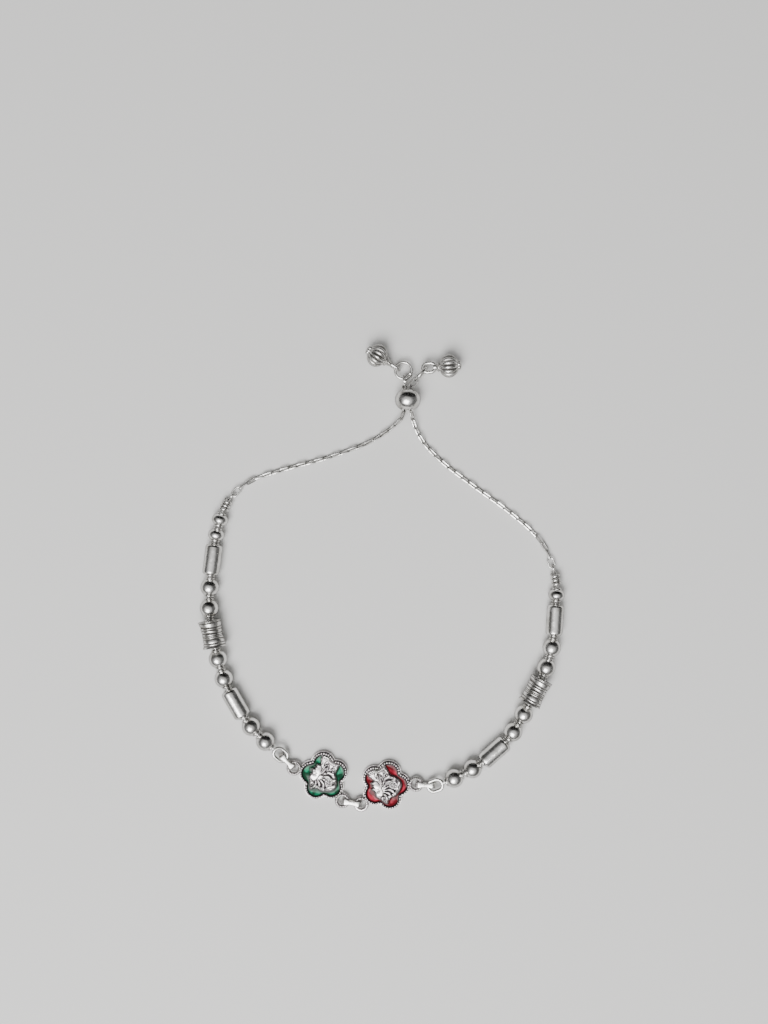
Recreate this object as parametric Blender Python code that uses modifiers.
"""Payal anklet lying flat: two bead strings, two flower charms and two fine chains through a slider bead.

Metres, +Z up. The anklet lies on z = 0, its charms towards -Y and its tail drops towards +Y.
"""

import math

import bmesh
import bpy
import numpy as np
from mathutils import Matrix, Vector

# The loop as it lies: across its bead strings, and from its charms to its drops
LOOP_WIDTH = 0.0990
LOOP_LENGTH = 0.1264

# Clearances
BEAD_GAP = 0.0003
PIECE_GAP = 0.00015
LINK_PLAY = 0.00018

# Round bead: a ball with a short collar at each end
ROUND_BEAD_DIAMETER = 0.0050
ROUND_BEAD_LENGTH = 0.0053

# Small bead: a flattened ball
SMALL_BEAD_DIAMETER = 0.0045
SMALL_BEAD_BODY_LENGTH = 0.0035
SMALL_BEAD_LENGTH = 0.0039

# Tube bead
TUBE_BEAD_DIAMETER = 0.0046
TUBE_BEAD_BODY_LENGTH = 0.0083
TUBE_BEAD_LENGTH = 0.0091
TUBE_BEAD_SHOULDER = 0.0009

# Spool bead: a waisted barrel wound with wire
SPOOL_END_DIAMETER = 0.0064
SPOOL_WAIST_DIAMETER = 0.0056
SPOOL_BODY_LENGTH = 0.0073
SPOOL_LENGTH = 0.0081
SPOOL_RIDGES = 8
SPOOL_RIDGE_DEPTH = 0.00018

# Facets round a bead, a ring, a small link, a wire and a coil's turn, and along a ball, a lobe and a notch
BEAD_SIDES = 10
BALL_ARCS = 4
SLIDER_SIDES = 10
SLIDER_ARCS = 8
RING_SIDES = 12
LINK_SIDES = 10
WIRE_SIDES = 5
COIL_SIDES = 8
LOBE_SEGMENTS = 5
NOTCH_SEGMENTS = 2
NECK_SIDES = 10
DROP_ROWS = 7

# Points read along a route: between two given points, along a chain's level run, between two of its heights
ROUTE_STEPS = 24
CHAIN_POINTS = 40
CHAIN_STEPS = 8
WELD = 1e-6
SPECK_FACES = 8

# What every bead shares
COLLAR_DIAMETER = 0.0024
COLLAR_END_DIAMETER = 0.0019
BORE_DIAMETER = 0.0012

# String wire with its eye and its end loop, and the wire coil wound on its end
STRING_WIRE = 0.0007
EYE_LENGTH = 0.0051
EYE_WIDTH = 0.0040
EYE_WIRE = 0.00095
LOOP_DIAMETER = 0.0021
LOOP_WIRE = 0.0006
COIL_DIAMETER = 0.0028
COIL_WIRE = 0.0008
COIL_PITCH = 0.00105
COIL_TURNS = 3

# Fine chain
CHAIN_LINK_LENGTH = 0.0031
CHAIN_LINK_WIDTH = 0.00133
CHAIN_WIRE = 0.00042
CHAIN_OVERLAP = 0.00012
CHAIN_TWIST = math.radians(45)
TWIST_LINKS = 3
END_LINK_LENGTH = 0.0034
END_LINK_WIDTH = 0.0020
CHAIN_EASE = 0.012

# Slider bead
SLIDER_DIAMETER = 0.0070
SLIDER_LENGTH = 0.0052
SLIDER_BORE = 0.0035

# Jump rings and ribbed drops
JUMP_RING_DIAMETER = 0.0052
JUMP_RING_WIRE = 0.00075
DROP_DIAMETER = 0.0063
DROP_BALL_LENGTH = 0.0054
DROP_RIBS = 14
DROP_RIB_DEPTH = 0.0003
DROP_NECK_DIAMETER = 0.0020
DROP_NECK_LENGTH = 0.0010
DROP_EYE_LENGTH = 0.0043
DROP_EYE_WIDTH = 0.0034
DROP_EYE_WIRE = 0.00095
GRANULE_DIAMETER = 0.0012
GRANULES = 5
GRANULE_RING_DIAMETER = 0.00132
TIP_GRANULE_RISE = 0.00014

# Flower charm: five lobes round a centre, a raised border, a sunk field and a bust in relief
LOBES = 5
LOBE_OFFSET = 0.0035
LOBE_RADIUS = 0.00335
LEDGE_WIDTH = 0.0002
LEDGE_HEIGHT = 0.0009
BORDER_WIDTH = 0.0007
BORDER_HEIGHT = 0.0020
FIELD_HEIGHT = 0.0012
ENAMEL_DEPTH = 0.0005
ENAMEL_GAP = 0.0001
BUST_HEIGHT = 0.0021
HAIR_HEIGHT = 0.0024
CHARM_RING_DIAMETER = 0.0042
CHARM_RING_WIRE = 0.0010
CHARM_RING_OVERLAP = 0.00065
CHARM_RING_ANGLES = (math.radians(162), math.radians(18))

# Strap link: a flat strip bent to a closed loop that stands on edge, pinched at its middle
LINK_REACH = 0.0052
LINK_STRIP = 0.00042
LINK_END_WIDTH = 0.0016
LINK_NECK_WIDTH = 0.0009
LINK_INSIDE_HEIGHT = 0.00135

# How the anklet lies: places are shares of the loop's width and length
GREEN_CHARM_SHARE = (-0.1586, -0.4240)
SLIDER_SHARE = (0.0717, 0.3821)
GREEN_CHARM_TURN = math.radians(146)
RED_CHARM_TURN = math.radians(-160)
LEFT_LINK_HEADING = math.radians(133.8)
MIDDLE_LINK_HEADING = math.radians(-10.5)
RIGHT_LINK_HEADING = math.radians(-2.4)
TAIL_HEADING = math.radians(93)
RIGHT_RING_HEADING = math.radians(48.8)
LEFT_DROP_SIDE = math.radians(160)
LEFT_DROP_HEADING = math.radians(148)
RIGHT_DROP_HEADING = math.radians(4)
SPARE_LINK_HEADING = math.radians(45)

# Routes. A string's points are shares of the loop's width and length, measured from its eye. A chain's are
# shares of the straight line between its two ends: how far along, and how far to the left of it.
LEFT_STRING_ROUTE = (
    (0.000, 0.000), (-0.038, 0.028), (-0.079, 0.058), (-0.120, 0.108), (-0.157, 0.164), (-0.168, 0.206),
    (-0.188, 0.260), (-0.195, 0.315), (-0.192, 0.360), (-0.189, 0.416), (-0.175, 0.470), (-0.166, 0.502),
    (-0.156, 0.525), (-0.143, 0.545), (-0.113, 0.567),
)
RIGHT_STRING_ROUTE = (
    (0.000, 0.000), (0.051, 0.016), (0.101, 0.036), (0.166, 0.072), (0.216, 0.118), (0.242, 0.157),
    (0.274, 0.206), (0.305, 0.256), (0.319, 0.299), (0.328, 0.354), (0.330, 0.411), (0.333, 0.437),
    (0.327, 0.456), (0.316, 0.478),
)
LEFT_CHAIN_ROUTE = (
    (0.065, 0.012), (0.159, 0.006), (0.257, -0.009), (0.347, -0.024), (0.442, -0.043), (0.541, -0.058),
    (0.633, -0.068), (0.734, -0.075), (0.827, -0.069), (0.913, -0.053), (0.969, -0.032),
)
RIGHT_CHAIN_ROUTE = (
    (0.052, -0.021), (0.114, -0.029), (0.187, -0.027), (0.271, -0.017), (0.368, -0.002), (0.457, 0.017),
    (0.552, 0.035), (0.647, 0.052), (0.746, 0.063), (0.842, 0.062), (0.919, 0.043), (0.967, 0.022),
)

MAIN_BEADS = ("round", "round", "tube", "round", "round", "spool", "round", "round", "tube")
LEFT_BEADS = (*MAIN_BEADS, "small", "small")
RIGHT_BEADS = (*MAIN_BEADS, "small")

# The bust in relief, upright and looking towards +X, as shares of the field's reach at a lobe's tip.
BUST_OUTLINE = (
    (0.19, 0.81), (0.05, 0.69), (-0.08, 0.605), (-0.26, 0.61), (-0.44, 0.52), (-0.60, 0.40), (-0.73, 0.22),
    (-0.74, 0.03), (-0.65, -0.16), (-0.54, -0.29), (-0.40, -0.40), (-0.36, -0.57), (-0.34, -0.74),
    (-0.30, -0.90), (-0.10, -0.84), (0.10, -0.84), (0.27, -0.90), (0.47, -0.90), (0.58, -0.83),
    (0.56, -0.67), (0.46, -0.52), (0.44, -0.40), (0.54, -0.36), (0.58, -0.30), (0.555, -0.23),
    (0.59, -0.19), (0.565, -0.14), (0.58, -0.10), (0.65, -0.07), (0.56, 0.12), (0.57, 0.19),
    (0.55, 0.36), (0.44, 0.50),
)
HAIR_OUTLINE = (
    (0.18, 0.75), (0.05, 0.64), (-0.08, 0.57), (-0.25, 0.57), (-0.42, 0.48), (-0.57, 0.37), (-0.69, 0.21),
    (-0.70, 0.03), (-0.61, -0.14), (-0.50, -0.27), (-0.36, -0.37), (-0.32, -0.56), (-0.24, -0.66),
    (-0.14, -0.60), (-0.08, -0.44), (0.00, -0.24), (0.03, -0.56), (0.12, -0.62), (0.21, -0.56),
    (0.21, -0.28), (0.19, -0.06), (0.20, 0.14), (0.24, 0.32), (0.38, 0.46),
)

SILVER = ((0.90, 0.89, 0.87), 0.16, 1.0)
BRUSHED_SILVER = ((0.86, 0.85, 0.83), 0.30, 1.0)
OXIDISED_SILVER = ((0.80, 0.79, 0.77), 0.36, 1.0)
GREEN_ENAMEL = ((0.02, 0.30, 0.17), 0.10, 0.0)
RED_ENAMEL = ((0.52, 0.03, 0.06), 0.10, 0.0)

UP = Vector((0, 0, 1))


def clear_scene():
    for old in list(bpy.data.objects):
        bpy.data.objects.remove(old, do_unlink=True)


def new_collection(name):
    collection = bpy.data.collections.new(name)
    bpy.context.scene.collection.children.link(collection)
    return collection


clear_scene()
PARTS = new_collection("payal_anklet")
CUTTERS = new_collection("anklet_cutters")
HANGER = bpy.data.objects.new("anklet", None)
PARTS.objects.link(HANGER)


def finish_of(name, finish):
    """A Principled material of one colour, roughness and metallic value."""
    colour, roughness, metallic = finish
    material = bpy.data.materials.new(name + "_finish")
    material.use_nodes = True
    shader = material.node_tree.nodes["Principled BSDF"]
    shader.inputs["Base Color"].default_value = (*colour, 1)
    shader.inputs["Roughness"].default_value = roughness
    shader.inputs["Metallic"].default_value = metallic
    return material


def add_part(name, data, place, finish):
    """An object of the anklet, placed by its matrix and carried by the hanger."""
    part = bpy.data.objects.new(name, data)
    PARTS.objects.link(part)
    part.parent = HANGER
    part.matrix_world = place
    part.data.materials.append(finish_of(name, finish))
    if part.type == "MESH":
        part.data.shade_smooth()
    return part


def add_tool(name, data, place):
    """A hidden shape that a Boolean joins or cuts with."""
    tool = bpy.data.objects.new(name, data)
    CUTTERS.objects.link(tool)
    tool.matrix_world = place
    tool.hide_render = True
    tool.display_type = "WIRE"
    return tool


def boolean(part, tool, operation):
    step = part.modifiers.new(operation.lower() + "_" + tool.name, "BOOLEAN")
    step.operation = operation
    step.solver = "EXACT"
    step.object = tool


def frame(origin, along, roll=0.0):
    """A place whose X runs along a direction. At roll 0 its Y is level; at 90 degrees its Y stands up."""
    x_axis = along.normalized()
    side = UP.cross(x_axis).normalized()
    lift = x_axis.cross(side)
    y_axis = side * math.cos(roll) + lift * math.sin(roll)
    z_axis = x_axis.cross(y_axis)
    return Matrix.Translation(origin) @ Matrix((x_axis, y_axis, z_axis)).transposed().to_4x4()


def level(heading):
    """The level unit vector at a heading, measured anticlockwise from +X."""
    return Vector((math.cos(heading), math.sin(heading), 0))


def on_loop(share):
    """A point on the floor from its shares of the loop's width and length."""
    return Vector((share[0] * LOOP_WIDTH, share[1] * LOOP_LENGTH, 0))


def mesh_from(name, points, faces):
    mesh = bpy.data.meshes.new(name)
    mesh.from_pydata([tuple(point) for point in points], [], faces)
    mesh.update()
    return mesh


def oval_ring(name, length, width, wire, around=RING_SIDES):
    """A ring of round wire in the XY plane: a torus whose two halves are moved apart along X."""
    bpy.ops.mesh.primitive_torus_add(
        major_radius=(width - wire) / 2, minor_radius=wire / 2,
        major_segments=around, minor_segments=WIRE_SIDES,
    )
    torus = bpy.context.active_object
    mesh = torus.data
    bpy.data.objects.remove(torus)
    mesh.name = name
    for vertex in mesh.vertices:
        vertex.co.x += math.copysign((length - width) / 2, vertex.co.x)
    mesh.materials.clear()
    return mesh


def wire_curve(name, points, wire):
    """A six-sided tube along straight runs, with its two ends closed."""
    curve = bpy.data.curves.new(name, "CURVE")
    curve.dimensions = "3D"
    curve.bevel_depth = wire / 2
    curve.bevel_resolution = 1
    curve.use_fill_caps = True
    spline = curve.splines.new("POLY")
    spline.points.add(len(points) - 1)
    for knot, point in zip(spline.points, points):
        knot.co = (*point, 1)
    return curve


def slab(name, outline, low, high):
    """A flat outline with a thickness, between two heights."""
    curve = bpy.data.curves.new(name, "CURVE")
    curve.dimensions = "2D"
    curve.fill_mode = "BOTH"
    curve.extrude = (high - low) / 2
    spline = curve.splines.new("POLY")
    spline.points.add(len(outline) - 1)
    for knot, (x, y) in zip(spline.points, outline):
        knot.co = (x, y, 0, 1)
    spline.use_cyclic_u = True
    mesh = mesh_of_curve(curve)
    mesh.transform(Matrix.Translation((0, 0, (low + high) / 2)))
    return mesh


def mesh_of_curve(curve):
    """The closed mesh of a curve, its caps welded to its sides."""
    helper = bpy.data.objects.new(curve.name, curve)
    CUTTERS.objects.link(helper)
    graph = bpy.context.evaluated_depsgraph_get()
    mesh = bpy.data.meshes.new_from_object(helper.evaluated_get(graph))
    bpy.data.objects.remove(helper)
    cage = bmesh.new()
    cage.from_mesh(mesh)
    bmesh.ops.remove_doubles(cage, verts=cage.verts, dist=WELD)
    bmesh.ops.recalc_face_normals(cage, faces=cage.faces)
    cage.to_mesh(mesh)
    cage.free()
    mesh.materials.clear()
    return mesh


def turned(name, profile, sides, place, finish):
    """A bored solid of revolution round Z. The profile goes down its outside, then up its bore."""
    corners = [(radius, 0, height) for radius, height in profile]
    edges = [(i, (i + 1) % len(corners)) for i in range(len(corners))]
    mesh = bpy.data.meshes.new(name)
    mesh.from_pydata(corners, edges, [])
    part = add_part(name, mesh, place, finish)
    screw = part.modifiers.new("turn", "SCREW")
    screw.axis = "Z"
    screw.angle = 2 * math.pi
    screw.steps = sides
    screw.render_steps = sides
    screw.use_merge_vertices = True
    screw.merge_threshold = WELD
    screw.use_normal_calculate = False
    return part


def turned_place(centre, axis, guide="Y"):
    """A place whose Z runs along an axis."""
    return Matrix.Translation(centre) @ axis.to_track_quat("Z", guide).to_matrix().to_4x4()


class Route:
    """A smooth curve through a few points, read by the length along it, and straight past its ends."""

    def __init__(self, points, steps=ROUTE_STEPS):
        knots = np.array([tuple(point) for point in points])
        spans = np.linalg.norm(np.diff(knots, axis=0), axis=1)[:, None]
        slopes = np.diff(knots, axis=0) / spans
        inner = (slopes[1:] * spans[:-1] + slopes[:-1] * spans[1:]) / (spans[1:] + spans[:-1])
        tangents = np.vstack([slopes[:1], inner, slopes[-1:]])
        t = np.linspace(0, 1, steps, endpoint=False)[None, :, None]
        start, end = knots[:-1, None], knots[1:, None]
        pull, push = tangents[:-1, None] * spans[:, None], tangents[1:, None] * spans[:, None]
        curve = (
            start * (2 * t**3 - 3 * t**2 + 1) + pull * (t**3 - 2 * t**2 + t)
            + end * (3 * t**2 - 2 * t**3) + push * (t**3 - t**2)
        )
        self.points = np.vstack([curve.reshape(-1, knots.shape[1]), knots[-1:]])
        steps_along = np.linalg.norm(np.diff(self.points, axis=0), axis=1)
        self.lengths = np.concatenate([[0], np.cumsum(steps_along)])
        self.length = self.lengths[-1]

    def at(self, distance):
        place = np.array([np.interp(distance, self.lengths, column) for column in self.points.T])
        if distance > self.length:
            leaving = self.points[-1] - self.points[-2]
            place += leaving / np.linalg.norm(leaving) * (distance - self.length)
        return Vector([float(value) for value in place])


# Bead profiles

def bored(outside, half_length):
    """An outside profile between its two collars, with the bore that runs through them."""
    rim, bore = COLLAR_END_DIAMETER / 2, BORE_DIAMETER / 2
    return [(rim, half_length), *outside, (rim, -half_length), (bore, -half_length), (bore, half_length)]


def ball_profile(diameter, body_length, length):
    """Half an ellipse that ends where it meets the collars."""
    radius = diameter / 2
    end = math.acos(COLLAR_DIAMETER / diameter)
    turns = [end * (1 - 2 * i / BALL_ARCS) for i in range(BALL_ARCS + 1)]
    outside = [(radius * math.cos(turn), body_length / 2 * math.sin(turn)) for turn in turns]
    return bored(outside, length / 2)


def tube_profile():
    """A straight body with rounded shoulders."""
    radius, half = TUBE_BEAD_DIAMETER / 2, TUBE_BEAD_BODY_LENGTH / 2
    arc_radius, arc_height = radius - TUBE_BEAD_SHOULDER, half - TUBE_BEAD_SHOULDER
    turns = [math.radians(angle) for angle in (90, 45, 0)]
    shoulder = [
        (arc_radius + TUBE_BEAD_SHOULDER * math.cos(turn), arc_height + TUBE_BEAD_SHOULDER * math.sin(turn))
        for turn in turns
    ]
    top = [(COLLAR_DIAMETER / 2, half), *shoulder]
    return bored(top + [(r, -z) for r, z in reversed(top)], TUBE_BEAD_LENGTH / 2)


def spool_profile():
    """Ridges of wound wire on a barrel that is slimmer at its waist."""
    half = SPOOL_BODY_LENGTH / 2
    outside = [(COLLAR_DIAMETER / 2, half)]
    for i in range(2 * SPOOL_RIDGES - 1):
        share = 1 - i / (SPOOL_RIDGES - 1)
        swell = abs(share) ** 2
        radius = (SPOOL_WAIST_DIAMETER + (SPOOL_END_DIAMETER - SPOOL_WAIST_DIAMETER) * swell) / 2
        outside.append((radius - SPOOL_RIDGE_DEPTH * (i % 2), share * (half - SPOOL_RIDGE_DEPTH)))
    outside.append((COLLAR_DIAMETER / 2, -half))
    return bored(outside, SPOOL_LENGTH / 2)


BEAD_KINDS = {
    "round": (ROUND_BEAD_DIAMETER, ROUND_BEAD_LENGTH,
              ball_profile(ROUND_BEAD_DIAMETER, ROUND_BEAD_DIAMETER, ROUND_BEAD_LENGTH)),
    "small": (SMALL_BEAD_DIAMETER, SMALL_BEAD_LENGTH,
              ball_profile(SMALL_BEAD_DIAMETER, SMALL_BEAD_BODY_LENGTH, SMALL_BEAD_LENGTH)),
    "tube": (TUBE_BEAD_DIAMETER, TUBE_BEAD_LENGTH, tube_profile()),
    "spool": (SPOOL_END_DIAMETER, SPOOL_LENGTH, spool_profile()),
}


# Flower charms

def arc(centre, radius, start, sweep, segments, last):
    """Points on an arc. The last one is left out where the next arc starts on it."""
    count = segments + 1 if last else segments
    turns = [start + sweep * i / segments for i in range(count)]
    return [(centre[0] + radius * math.cos(turn), centre[1] + radius * math.sin(turn)) for turn in turns]


def flower_outline(inset):
    """The outline of five lobes, moved inwards: an arc round each lobe, then one round each notch."""
    half = math.pi / LOBES
    notch = LOBE_OFFSET * math.cos(half) + math.sqrt(LOBE_RADIUS**2 - (LOBE_OFFSET * math.sin(half)) ** 2)
    spread = math.atan2(notch * math.sin(half), notch * math.cos(half) - LOBE_OFFSET)
    outline = []
    for lobe in range(LOBES):
        facing = math.pi / 2 + 2 * half * lobe
        middle = (LOBE_OFFSET * math.cos(facing), LOBE_OFFSET * math.sin(facing))
        outline += arc(middle, LOBE_RADIUS - inset, facing - spread, 2 * spread, LOBE_SEGMENTS, True)
        if inset > 0:
            corner = (notch * math.cos(facing + half), notch * math.sin(facing + half))
            sweep = 2 * (half - spread) + math.pi
            outline += arc(corner, inset, facing + spread + math.pi, -sweep, NOTCH_SEGMENTS, True)[1:-1]
        else:
            outline.pop()
    return outline


FIELD_REACH = LOBE_OFFSET + LOBE_RADIUS - LEDGE_WIDTH - BORDER_WIDTH


def relief_outline(shares, grow=0.0):
    """An outline of the relief at its size, its corners moved outwards by a small amount."""
    corners = np.array(shares) * FIELD_REACH
    before = corners - np.roll(corners, 1, axis=0)
    after = np.roll(corners, -1, axis=0) - corners
    along = before / np.linalg.norm(before, axis=1)[:, None] + after / np.linalg.norm(after, axis=1)[:, None]
    along /= np.linalg.norm(along, axis=1)[:, None]
    outwards = np.column_stack([along[:, 1], -along[:, 0]])
    return (corners + outwards * grow).tolist()


def charm_place(centre, turn):
    return Matrix.Translation(centre) @ Matrix.Rotation(turn, 4, "Z")


RING_REACH = LOBE_OFFSET + LOBE_RADIUS + CHARM_RING_DIAMETER / 2 - CHARM_RING_OVERLAP
RING_HEIGHT = LINK_STRIP + LINK_INSIDE_HEIGHT / 2 + PIECE_GAP


def ring_centre(centre, turn, side):
    """Where a charm's ring lies: side 0 is behind the head, side 1 in front of the face."""
    return centre + level(turn + CHARM_RING_ANGLES[side]) * RING_REACH + UP * RING_HEIGHT


def make_charm(name, centre, turn, enamel):
    """A cast flower with its bust, border and two rings, and the enamel that fills its field."""
    place = charm_place(centre, turn)
    charm = add_part(name + "_charm", slab(name + "_plate", flower_outline(0), 0, LEDGE_HEIGHT), place,
                     OXIDISED_SILVER)
    border = slab(name + "_border", flower_outline(LEDGE_WIDTH), LEDGE_HEIGHT / 2, BORDER_HEIGHT)
    boolean(charm, add_tool(name + "_border", border, place), "UNION")
    field_inset = LEDGE_WIDTH + BORDER_WIDTH
    field = slab(name + "_field", flower_outline(field_inset), FIELD_HEIGHT, 2 * BORDER_HEIGHT)
    boolean(charm, add_tool(name + "_field", field, place), "DIFFERENCE")
    levels = {"bust": (BUST_OUTLINE, BUST_HEIGHT), "hair": (HAIR_OUTLINE, HAIR_HEIGHT)}
    for level_name, (outline, top) in levels.items():
        relief = slab(name + "_" + level_name, relief_outline(outline), FIELD_HEIGHT / 2, top)
        boolean(charm, add_tool(name + "_" + level_name, relief, place), "UNION")
    for side in range(2):
        ring = oval_ring(name + "_ring", CHARM_RING_DIAMETER, CHARM_RING_DIAMETER, CHARM_RING_WIRE)
        spot = frame(ring_centre(centre, turn, side), level(turn + CHARM_RING_ANGLES[side]))
        boolean(charm, add_tool(name + "_ring_" + str(side), ring, spot), "UNION")
    low, high = FIELD_HEIGHT + ENAMEL_GAP, FIELD_HEIGHT + ENAMEL_GAP + ENAMEL_DEPTH
    pool = slab(name + "_pool", flower_outline(field_inset + ENAMEL_GAP), low, high)
    glass = add_part(name + "_enamel", pool, place, enamel)
    around_bust = relief_outline(BUST_OUTLINE, ENAMEL_GAP)
    clearance = slab(name + "_bust_clearance", around_bust, 0, 2 * BORDER_HEIGHT)
    boolean(glass, add_tool(name + "_bust_clearance", clearance, place), "DIFFERENCE")


# Strap links

def make_strap_link(name, start, heading):
    """A closed flat strip that stands on edge, from one ring's centre to the next one's."""
    half_reach, half_height = LINK_REACH / 2, (LINK_INSIDE_HEIGHT + LINK_STRIP) / 2
    straight = half_reach - half_height
    normals = [(math.cos(turn), math.sin(turn)) for turn in np.radians((-90, -45, 0, 45, 90))]
    stations = [(straight + half_height * nx, half_height * nz, nx, nz) for nx, nz in normals]
    stations += [(straight * share, half_height, 0, 1) for share in (0.5, 0, -0.5)]
    stations += [(-x, -z, -nx, -nz) for x, z, nx, nz in stations]
    points = []
    for x, z, nx, nz in stations:
        spread = min(abs(x) / straight, 1) ** 2
        half_width = (LINK_NECK_WIDTH + (LINK_END_WIDTH - LINK_NECK_WIDTH) * spread) / 2
        for side, out in ((1, 1), (-1, 1), (-1, -1), (1, -1)):
            rim = out * LINK_STRIP / 2
            points.append((x + nx * rim, side * half_width, z + nz * rim))
    count = len(stations)
    faces = [
        (4 * i + j, 4 * ((i + 1) % count) + j, 4 * ((i + 1) % count) + (j + 1) % 4, 4 * i + (j + 1) % 4)
        for i in range(count) for j in range(4)
    ]
    along = level(heading)
    return add_part(name, mesh_from(name, points, faces), frame(start + along * half_reach, along), SILVER)


# Bead strings

STRING_END_HEIGHT = COIL_DIAMETER / 2 + PIECE_GAP


def make_string(side, eye_centre, route_points, kinds):
    """Beads, their wire with its eye and end loop, and the end coil. Returns the loop's place and heading."""
    route = Route([on_loop(share).to_2d() for share in route_points])
    origin = Vector((eye_centre.x, eye_centre.y, 0))
    radii = [BEAD_KINDS[kind][0] / 2 for kind in kinds]
    distance = EYE_LENGTH / 2 + PIECE_GAP
    joints = [origin + route.at(distance).to_3d() + UP * radii[0]]
    for i, kind in enumerate(kinds):
        distance += BEAD_KINDS[kind][1] + BEAD_GAP
        height = max(radii[i], radii[min(i + 1, len(kinds) - 1)])
        joints.append(origin + route.at(distance).to_3d() + UP * height)
    counts = dict.fromkeys(BEAD_KINDS, 0)
    for i, kind in enumerate(kinds):
        counts[kind] += 1
        axis = (joints[i + 1] - joints[i]).normalized()
        place = turned_place((joints[i] + joints[i + 1]) / 2, axis)
        name = f"{side}_{kind}_bead_{counts[kind]}"
        turned(name, BEAD_KINDS[kind][2], BEAD_SIDES, place, BRUSHED_SILVER if kind == "spool" else SILVER)
    coil_length = COIL_TURNS * COIL_PITCH + COIL_WIRE
    coil_end = origin + route.at(distance + coil_length).to_3d() + UP * STRING_END_HEIGHT
    loop_reach = coil_length + PIECE_GAP + LOOP_DIAMETER / 2
    loop_centre = origin + route.at(distance + loop_reach).to_3d() + UP * (LOOP_DIAMETER / 2 + PIECE_GAP)
    make_coil(side, joints[-1], coil_end)
    make_string_wire(side, eye_centre, joints, coil_end, loop_centre)
    return loop_centre, (loop_centre - coil_end).to_2d()


def make_coil(side, start, end):
    """Wire wound round the string's end: a helix."""
    radius = (COIL_DIAMETER - COIL_WIRE) / 2
    turns = [2 * math.pi * i / COIL_SIDES for i in range(COIL_TURNS * COIL_SIDES + 1)]
    wire_start = COIL_WIRE / 2 + PIECE_GAP
    points = [
        (wire_start + COIL_PITCH * turn / (2 * math.pi), radius * math.cos(turn), radius * math.sin(turn))
        for turn in turns
    ]
    name = side + "_end_coil"
    add_part(name, wire_curve(name, points, COIL_WIRE), frame(start, end - start), SILVER)


def make_string_wire(side, eye_centre, joints, coil_end, loop_centre):
    """The wire inside the beads, joined to its eye at one end and its loop at the other."""
    eye_axis = (joints[0] - eye_centre).normalized()
    eye_wire = eye_centre + eye_axis * (EYE_LENGTH - EYE_WIRE) / 2
    loop_axis = Vector((*(loop_centre - coil_end).to_2d(), 0)).normalized()
    loop_wire = loop_centre - loop_axis * (LOOP_DIAMETER - LOOP_WIRE) / 2
    name = side + "_string_wire"
    core = mesh_of_curve(wire_curve(name, [eye_wire, *joints, coil_end, loop_wire], STRING_WIRE))
    wire = add_part(name, core, Matrix.Identity(4), SILVER)
    eye = oval_ring(side + "_eye", EYE_LENGTH, EYE_WIDTH, EYE_WIRE)
    boolean(wire, add_tool(side + "_eye", eye, frame(eye_centre, eye_axis)), "UNION")
    loop = oval_ring(side + "_loop", LOOP_DIAMETER, LOOP_DIAMETER, LOOP_WIRE, LINK_SIDES)
    boolean(wire, add_tool(side + "_loop", loop, frame(loop_centre, loop_axis, math.pi / 2)), "UNION")


# Chains

def chain_joint(length):
    """How far a link's centre lies from the point where it meets the next link."""
    pitch = CHAIN_LINK_LENGTH - 2 * CHAIN_WIRE + CHAIN_OVERLAP
    return (length - CHAIN_LINK_LENGTH + pitch) / 2


def end_link_reach(held_wire):
    """How far an end link's centre lies from the wire that it holds."""
    return END_LINK_LENGTH / 2 - CHAIN_WIRE - held_wire / 2 - LINK_PLAY


def chain_route(start, end, shares, way_out):
    """Level points between a chain's two ends, then its way through the slider, with eased heights."""
    entry = way_out[0]
    span = (entry - start).to_2d()
    left = Vector((-span.y, span.x))
    between = [start.to_2d() + span * along + left * aside for along, aside in shares]
    flat = Route([start.to_2d(), *between, entry.to_2d()])
    rest = (CHAIN_LINK_WIDTH / 2 + CHAIN_WIRE / 2) / math.sqrt(2) + PIECE_GAP
    points = []
    for distance in np.linspace(0, flat.length, CHAIN_POINTS)[:-1]:
        near_start = max(0.0, 1 - distance / (CHAIN_EASE / 2)) ** 2
        near_end = max(0.0, 1 - (flat.length - distance) / CHAIN_EASE) ** 2
        height = rest + (start.z - rest) * near_start + (entry.z - rest) * near_end
        points.append(flat.at(distance).to_3d() + UP * height)
    return Route([*points, *way_out, end], CHAIN_STEPS)


def make_chain(name, loop_centre, loop_heading, tail_joint, tail_link, shares, way_out, tail_roll, spare):
    """Fine links from the string's loop to the jump ring, made one body where they cross."""
    fine = oval_ring("fine_link", CHAIN_LINK_LENGTH, CHAIN_LINK_WIDTH, CHAIN_WIRE, LINK_SIDES)
    wide = oval_ring("end_link", END_LINK_LENGTH, END_LINK_WIDTH, CHAIN_WIRE, LINK_SIDES)
    along = Vector((*loop_heading, 0)).normalized()
    first = loop_centre + along * ((LOOP_DIAMETER - LOOP_WIRE) / 2 + end_link_reach(LOOP_WIRE))
    start = first + along * chain_joint(END_LINK_LENGTH)
    route = chain_route(start, tail_joint, shares, way_out)
    count = round(route.length / (2 * chain_joint(CHAIN_LINK_LENGTH)))
    joints = [route.at(route.length * i / count) for i in range(count + 1)]
    end_twist = (tail_roll - math.pi / 2 * ((count + 1) % 2)) % math.pi
    links = [(wide, frame(first, along, 0))]
    for i in range(count):
        share_start = max(0.0, 1 - i / TWIST_LINKS)
        share_end = max(0.0, 1 - (count - 1 - i) / TWIST_LINKS)
        twist = CHAIN_TWIST * (1 - share_start) * (1 - share_end) + end_twist * share_end
        roll = twist + math.pi / 2 * ((i + 1) % 2)
        links.append((fine, frame((joints[i] + joints[i + 1]) / 2, joints[i + 1] - joints[i], roll)))
    links.append((wide, tail_link))
    if spare is not None:
        links.append((fine, spare))
    chain = add_part(name, joined(name, links[0::2]), Matrix.Identity(4), SILVER)
    between = joined(name + "_between", links[1::2])
    boolean(chain, add_tool(name + "_between", between, Matrix.Identity(4)), "UNION")
    drop_specks(chain)


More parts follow.
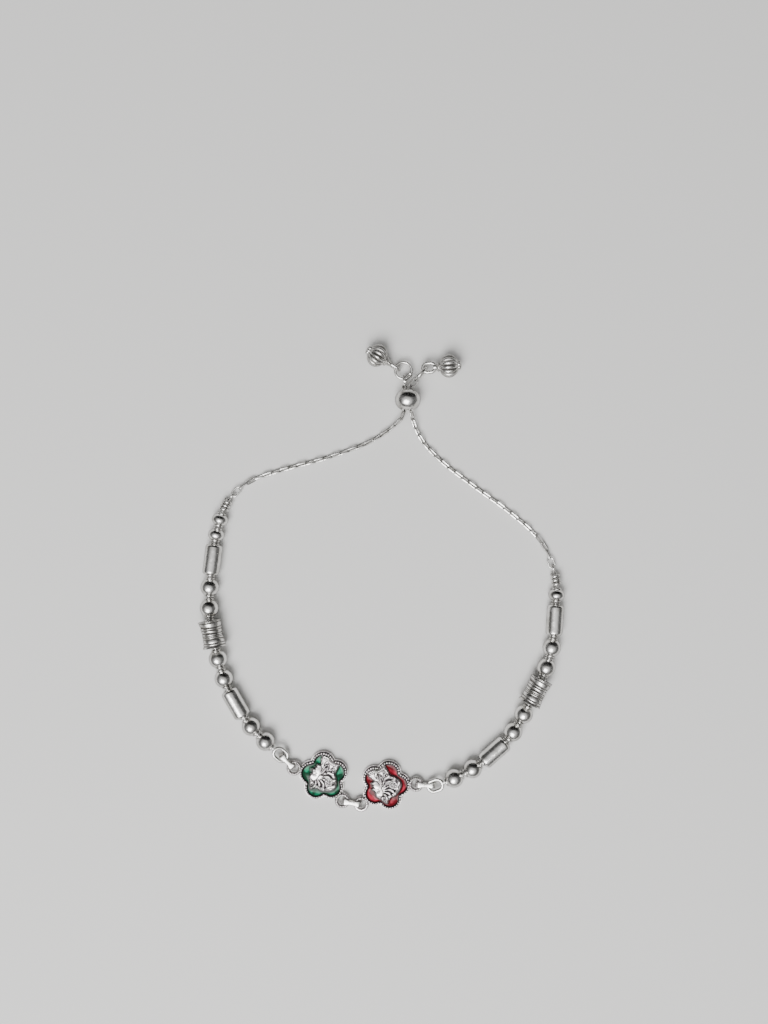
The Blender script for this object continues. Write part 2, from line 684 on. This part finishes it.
def drop_specks(part):
    """Make a union final without the specks that it leaves where two wires' facets graze each other."""
    cage = bmesh.new()
    cage.from_object(part, bpy.context.evaluated_depsgraph_get())
    waiting = set(cage.faces)
    specks = []
    while waiting:
        piece = {waiting.pop()}
        edge_on = list(piece)
        while edge_on:
            beside = {face for edge in edge_on.pop().edges for face in edge.link_faces} & waiting
            waiting -= beside
            piece |= beside
            edge_on.extend(beside)
        if len(piece) <= SPECK_FACES:
            specks.extend(piece)
    bmesh.ops.delete(cage, geom=specks, context="FACES")
    part.modifiers.clear()
    cage.to_mesh(part.data)
    cage.free()


def joined(name, placed):
    """Several meshes in one, each at its own place. They don't touch each other."""
    cage = bmesh.new()
    for mesh, place in placed:
        copy = mesh.copy()
        copy.transform(place)
        cage.from_mesh(copy)
        bpy.data.meshes.remove(copy)
    mesh = bpy.data.meshes.new(name)
    cage.to_mesh(mesh)
    cage.free()
    return mesh


# Slider, jump rings and drops

def make_slider():
    """A flattened ball with a wide bore that lies along Y."""
    radius, half, bore = SLIDER_DIAMETER / 2, SLIDER_LENGTH / 2, SLIDER_BORE / 2
    flare = math.acos((bore + PIECE_GAP) / radius)
    swell = half / math.sin(flare)
    turns = [flare * (1 - 2 * i / SLIDER_ARCS) for i in range(SLIDER_ARCS + 1)]
    outside = [(radius * math.cos(turn), swell * math.sin(turn)) for turn in turns]
    centre = on_loop(SLIDER_SHARE) + UP * radius
    profile = [*outside, (bore, -half + PIECE_GAP), (bore, half - PIECE_GAP)]
    turned("slider_bead", profile, SLIDER_SIDES, turned_place(centre, Vector((0, 1, 0)), "X"), SILVER)
    return centre


def make_jump_ring(side, centre, along, roll):
    name = side + "_jump_ring"
    ring = oval_ring(name, JUMP_RING_DIAMETER, JUMP_RING_DIAMETER, JUMP_RING_WIRE)
    add_part(name, ring, frame(centre, along, roll), SILVER)


def fluted_ball(name):
    """A ball flattened along X, whose every second meridian is sunk to leave ribs."""
    cage = bmesh.new()
    bmesh.ops.create_uvsphere(cage, u_segments=2 * DROP_RIBS, v_segments=DROP_ROWS, radius=1)
    for vertex in cage.verts:
        turn = math.atan2(vertex.co.y, vertex.co.x)
        sunk = round(turn / math.pi * DROP_RIBS) % 2
        reach = DROP_DIAMETER / 2 - DROP_RIB_DEPTH * sunk
        vertex.co = Vector((-vertex.co.z * DROP_BALL_LENGTH / 2, vertex.co.y * reach, vertex.co.x * reach))
    mesh = bpy.data.meshes.new(name)
    cage.to_mesh(mesh)
    cage.free()
    return mesh


def make_drop(side, held, along, eye_roll, rise):
    """A ribbed ball with neck, eye and granules. Its eye holds the jump ring's wire at the held point."""
    eye_centre_reach = DROP_EYE_LENGTH / 2 - DROP_EYE_WIRE - JUMP_RING_WIRE / 2 - LINK_PLAY
    neck_reach = eye_centre_reach + (DROP_EYE_LENGTH - DROP_EYE_WIRE) / 2
    ball_reach = neck_reach + DROP_NECK_LENGTH + DROP_BALL_LENGTH / 2
    axis = (along * math.sqrt(ball_reach**2 - rise**2) + UP * rise).normalized()
    ball_centre = held + axis * ball_reach
    drop = add_part(side + "_drop", fluted_ball(side + "_drop"), frame(ball_centre, axis), BRUSHED_SILVER)
    eye = oval_ring(side + "_drop_eye", DROP_EYE_LENGTH, DROP_EYE_WIDTH, DROP_EYE_WIRE)
    eye_place = frame(held + axis * eye_centre_reach, axis, eye_roll)
    boolean(drop, add_tool(side + "_drop_eye", eye, eye_place), "UNION")
    neck_length = DROP_NECK_LENGTH + DROP_EYE_WIRE
    cage = bmesh.new()
    bmesh.ops.create_cone(cage, cap_ends=True, segments=NECK_SIDES, radius1=DROP_NECK_DIAMETER / 2,
                          radius2=DROP_EYE_WIRE / 2, depth=neck_length)
    neck = bpy.data.meshes.new(side + "_neck")
    cage.to_mesh(neck)
    cage.free()
    neck_middle = ball_centre - axis * (DROP_BALL_LENGTH / 2 + DROP_NECK_LENGTH / 2)
    boolean(drop, add_tool(side + "_neck", neck, turned_place(neck_middle, -axis)), "UNION")
    tip = ball_centre + axis * DROP_BALL_LENGTH / 2
    tip_place = frame(tip, axis)
    reach = GRANULE_RING_DIAMETER / 2
    spots = [Vector((TIP_GRANULE_RISE, 0, 0))]
    spots += [Vector((0, reach * math.cos(turn), reach * math.sin(turn)))
              for turn in [2 * math.pi * i / GRANULES for i in range(GRANULES)]]
    for i, spot in enumerate(spots):
        cage = bmesh.new()
        bmesh.ops.create_icosphere(cage, subdivisions=1, radius=GRANULE_DIAMETER / 2)
        granule = bpy.data.meshes.new(f"{side}_granule_{i}")
        cage.to_mesh(granule)
        cage.free()
        place = Matrix.Translation(tip_place @ spot)
        boolean(drop, add_tool(f"{side}_granule_{i}", granule, place), "UNION")


def make_anklet():
    green_centre = on_loop(GREEN_CHARM_SHARE)
    green_ring_left = ring_centre(green_centre, GREEN_CHARM_TURN, 1)
    green_ring_right = ring_centre(green_centre, GREEN_CHARM_TURN, 0)
    red_ring_left = green_ring_right + level(MIDDLE_LINK_HEADING) * LINK_REACH
    red_centre = red_ring_left - level(RED_CHARM_TURN + CHARM_RING_ANGLES[1]) * RING_REACH - UP * RING_HEIGHT
    red_ring_right = ring_centre(red_centre, RED_CHARM_TURN, 0)
    make_charm("green", green_centre, GREEN_CHARM_TURN, GREEN_ENAMEL)
    make_charm("red", red_centre, RED_CHARM_TURN, RED_ENAMEL)
    make_strap_link("left_link", green_ring_left, LEFT_LINK_HEADING)
    make_strap_link("middle_link", green_ring_right, MIDDLE_LINK_HEADING)
    make_strap_link("right_link", red_ring_right, RIGHT_LINK_HEADING)

    slider = make_slider()
    strand = (CHAIN_LINK_WIDTH + CHAIN_WIRE) / 2
    left_way = (LEFT_STRING_ROUTE, LEFT_BEADS, LEFT_CHAIN_ROUTE, -strand)
    right_way = (RIGHT_STRING_ROUTE, RIGHT_BEADS, RIGHT_CHAIN_ROUTE, strand)
    ends = {
        "left": (green_ring_left, LEFT_LINK_HEADING, left_way),
        "right": (red_ring_right, RIGHT_LINK_HEADING, right_way),
    }
    for side, (ring, heading, (route, kinds, shares, aside)) in ends.items():
        eye_rise = (BEAD_KINDS[kinds[0]][0] / 2 - RING_HEIGHT) / 2
        eye_centre = ring + level(heading) * LINK_REACH + UP * eye_rise
        loop_centre, loop_heading = make_string(side, eye_centre, route, kinds)
        make_tail(side, slider, aside, loop_centre, loop_heading, shares)


def make_tail(side, slider, aside, loop_centre, loop_heading, shares):
    """A chain's way through the slider to its jump ring, the ring and the drop on it."""
    bore_point = slider + Vector((aside, 0, 0))
    half = SLIDER_LENGTH / 2
    way_out = [bore_point - Vector((0, half, 0)), bore_point + Vector((0, half, 0))]
    outer = JUMP_RING_DIAMETER / 2
    ring_radius = outer - JUMP_RING_WIRE / 2
    along = level(TAIL_HEADING)
    if side == "left":
        height = DROP_EYE_WIDTH / 2 + PIECE_GAP
        link_roll, ring_roll, ring_along = math.pi / 2, 0.0, along
        drop_at, drop_along, eye_roll = level(LEFT_DROP_SIDE), level(LEFT_DROP_HEADING), math.pi / 2
    else:
        height = outer + PIECE_GAP
        link_roll, ring_roll, ring_along = 0.0, math.pi / 2, level(RIGHT_RING_HEADING)
        along = level(RIGHT_RING_HEADING)
        drop_at, drop_along, eye_roll = ring_along, level(RIGHT_DROP_HEADING), 0.0
    tail_joint = way_out[1] + level(TAIL_HEADING) * chain_joint(CHAIN_LINK_LENGTH)
    tail_joint.z = (slider.z + height) / 2
    link_centre = tail_joint + along * chain_joint(END_LINK_LENGTH)
    link_centre.z = height
    ring_wire = link_centre + along * end_link_reach(JUMP_RING_WIRE)
    centre = ring_wire + ring_along * ring_radius
    tail_link = frame(link_centre, along, link_roll)
    spare = None
    if side == "left":
        spare_along = level(SPARE_LINK_HEADING)
        top_wire = link_centre + UP * (END_LINK_WIDTH - CHAIN_WIRE) / 2
        spare = frame(top_wire + spare_along * (CHAIN_LINK_LENGTH - CHAIN_WIRE) / 2, spare_along)
    make_chain(
        side + "_chain", loop_centre, loop_heading, tail_joint, tail_link, shares, way_out, link_roll, spare
    )
    make_jump_ring(side, centre, ring_along, ring_roll)
    held = centre + drop_at * ring_radius
    make_drop(side, held, drop_along, eye_roll, DROP_DIAMETER / 2 - height)


make_anklet()
